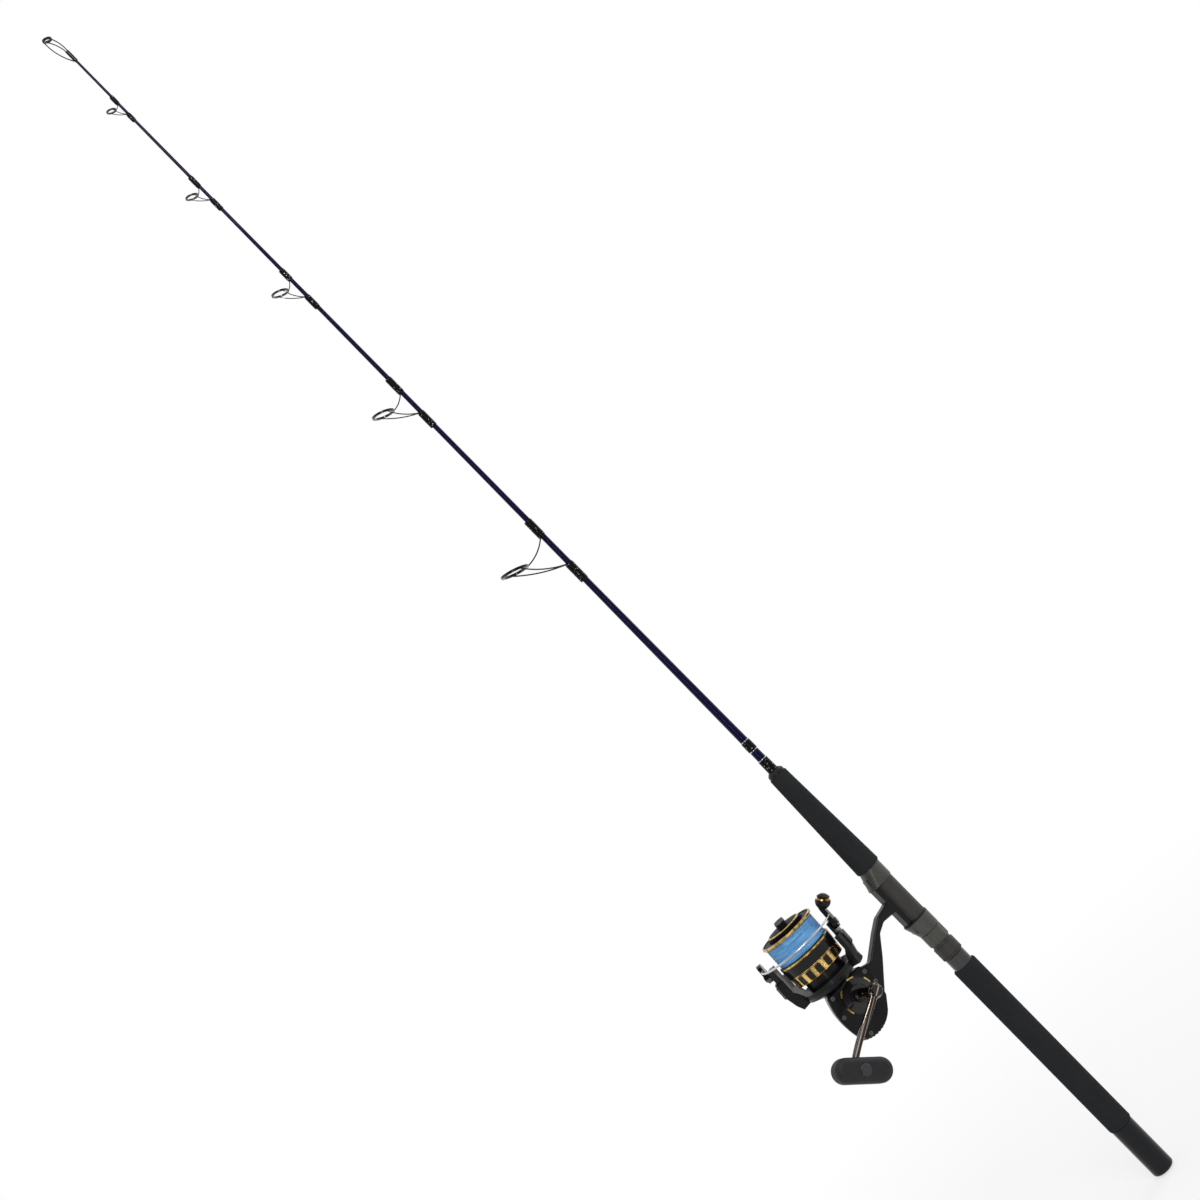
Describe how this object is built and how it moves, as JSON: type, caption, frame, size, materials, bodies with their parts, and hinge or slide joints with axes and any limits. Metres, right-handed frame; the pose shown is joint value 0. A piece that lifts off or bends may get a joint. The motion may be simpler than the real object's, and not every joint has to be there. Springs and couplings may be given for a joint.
{
  "type": "fishing rod with spinning reel",
  "caption": "Boat fishing rod with foam grips and wire line guides; a threaded reel seat holds a spinning reel with bail, drag knob, spool of line and a cranked T-knob handle.",
  "frame": {"origin": "centre of the butt cap's end face", "axes": "+Z along the rod from butt to tip; the reel and the guides are on the -X side; the reel's handle is on the -Y side"},
  "size_m": [0.2332, 0.127, 1.6759],
  "materials": {
    "blank": "deep navy gloss varnish",
    "wrap": "black thread under clear varnish with fine sparkle",
    "trim": "bright silver band",
    "foam": "matte closed-cell foam",
    "cap": "gloss black",
    "seat": "graphite, satin",
    "hood": "warm gray satin",
    "barrel": "dark polished sleeve",
    "black_trim": "black, eased edges",
    "guide_frame": "dark gunmetal wire",
    "ceramic": "polished black ceramic",
    "body": "black satin paint",
    "gold": "gold anodised",
    "steel": "bright turned steel",
    "bright": "polished plate",
    "bronze": "dark bronze plating",
    "gear": "cut brass",
    "friction": "woven friction disc",
    "line": "blue braid",
    "knob_rubber": "soft-touch black",
    "knob_cap": "satin gray"
  },
  "bodies": {
    "rod": {"blank": "blank", "butt_cap": "cap", "rear_grip": "foam", "seat_tube": "seat", "seat_arbors": "foam", "seat_barrel": "barrel", "front_hood": "hood", "fore_grip": "foam", "winding_check": "black_trim", "butt_wraps": "wrap", "trim_bands": "trim", "guide_wraps": "wrap", "guide_frame_1": "guide_frame", "guide_frame_2": "guide_frame", "guide_frame_3": "guide_frame", "guide_frame_4": "guide_frame", "guide_frame_5": "guide_frame", "tip_frame": "guide_frame", "guide_rings": "ceramic", "reel_body": "body", "side_cover": "body", "cover_screws": "steel", "boss_ring": "gold", "rear_guard": "black_trim", "bearings": "steel", "roller_clutch": "steel", "guide_rod": "steel"},
    "hood": {"moving_hood": "hood", "hood_ring": "black_trim"},
    "hood_nut": {"hood_nut": "hood"},
    "lock_nut": {"lock_nut": "seat"},
    "crank": {"drive_gear": "gear", "handle_hub": "bronze", "hub_cap": "bronze", "handle_arm": "bronze", "knob_axle": "steel"},
    "knob": {"knob_bearings": "steel", "handle_knob": "knob_rubber", "knob_cap": "knob_cap"},
    "rotor": {"rotor": "body", "rotor_nut": "gear", "pinion": "gear", "arm_covers": "black_trim", "bail_pivots": "steel"},
    "bail": {"bail_lever": "body", "bail_holder": "bright", "bail_wire": "steel", "roller_pin": "black_trim"},
    "roller": {"line_roller": "gold"},
    "shaft": {"main_shaft": "steel", "slider": "gear", "drag_washers": "steel"},
    "spool": {"spool": "body", "spool_lip": "gold", "skirt_ring": "gold", "line_core": "line", "line_winding": "line", "drag_discs": "friction"},
    "drag_knob": {"drag_knob": "body"},
    "cam": {"cam_gear": "gear"}
  },
  "joints": [
    {"name": "handle_crank", "type": "hinge", "parent": "rod", "child": "crank", "pos_m": [-0.11571, 0, 0.36979], "axis": [0, -1, 0], "continuous": true},
    {"name": "rotor_spin", "type": "hinge", "parent": "rod", "child": "rotor", "pos_m": [-0.1205, 0, 0.37], "axis": [0.0436, 0, 0.999], "continuous": true},
    {"name": "cam_spin", "type": "hinge", "parent": "rod", "child": "cam", "pos_m": [-0.1164, 0, 0.35381], "axis": [0, -1, 0], "continuous": true},
    {"name": "shaft_slide", "type": "slide", "parent": "rod", "child": "shaft", "axis": [0.0436, 0, 0.999], "range_m": [-0.007, 0.007]},
    {"name": "spool_spin", "type": "hinge", "parent": "shaft", "child": "spool", "pos_m": [-0.1205, 0, 0.37], "axis": [0.0436, 0, 0.999], "continuous": true},
    {"name": "drag_knob_turn", "type": "hinge", "parent": "shaft", "child": "drag_knob", "pos_m": [-0.1205, 0, 0.37], "axis": [0.0436, 0, 0.999], "range_deg": [-540, 540]},
    {"name": "bail_flip", "type": "hinge", "parent": "rotor", "child": "bail", "pos_m": [-0.11736, 0, 0.44193], "axis": [-0.8282, 0.5592, 0.0362], "range_deg": [0, 100]},
    {"name": "roller_spin", "type": "hinge", "parent": "bail", "child": "roller", "pos_m": [-0.07576, -0.0274, 0.46354], "axis": [0.6165, -0.3954, 0.6809], "continuous": true},
    {"name": "knob_spin", "type": "hinge", "parent": "crank", "child": "knob", "pos_m": [-0.19258, 0, 0.33329], "axis": [0, -1, 0], "continuous": true},
    {"name": "hood_slide", "type": "slide", "parent": "rod", "child": "hood", "axis": [0, 0, 1], "range_m": [-0.0033, 0]},
    {"name": "hood_nut_turn", "type": "hinge", "parent": "hood", "child": "hood_nut", "pos_m": [0, 0, 0.346], "axis": [0, 0, 1], "range_deg": [-20, 812]},
    {"name": "lock_nut_turn", "type": "hinge", "parent": "rod", "child": "lock_nut", "pos_m": [0, 0, 0.3264], "axis": [0, 0, 1], "range_deg": [-60, 60]}
  ],
  "couplings": [
    {"joint": "rotor_spin", "follows": "handle_crank", "ratio": -4.9},
    {"joint": "cam_spin", "follows": "handle_crank", "ratio": -0.33333},
    {"joint": "hood_nut_turn", "follows": "hood_slide", "rad_per_m": -4188.8}
  ]
}
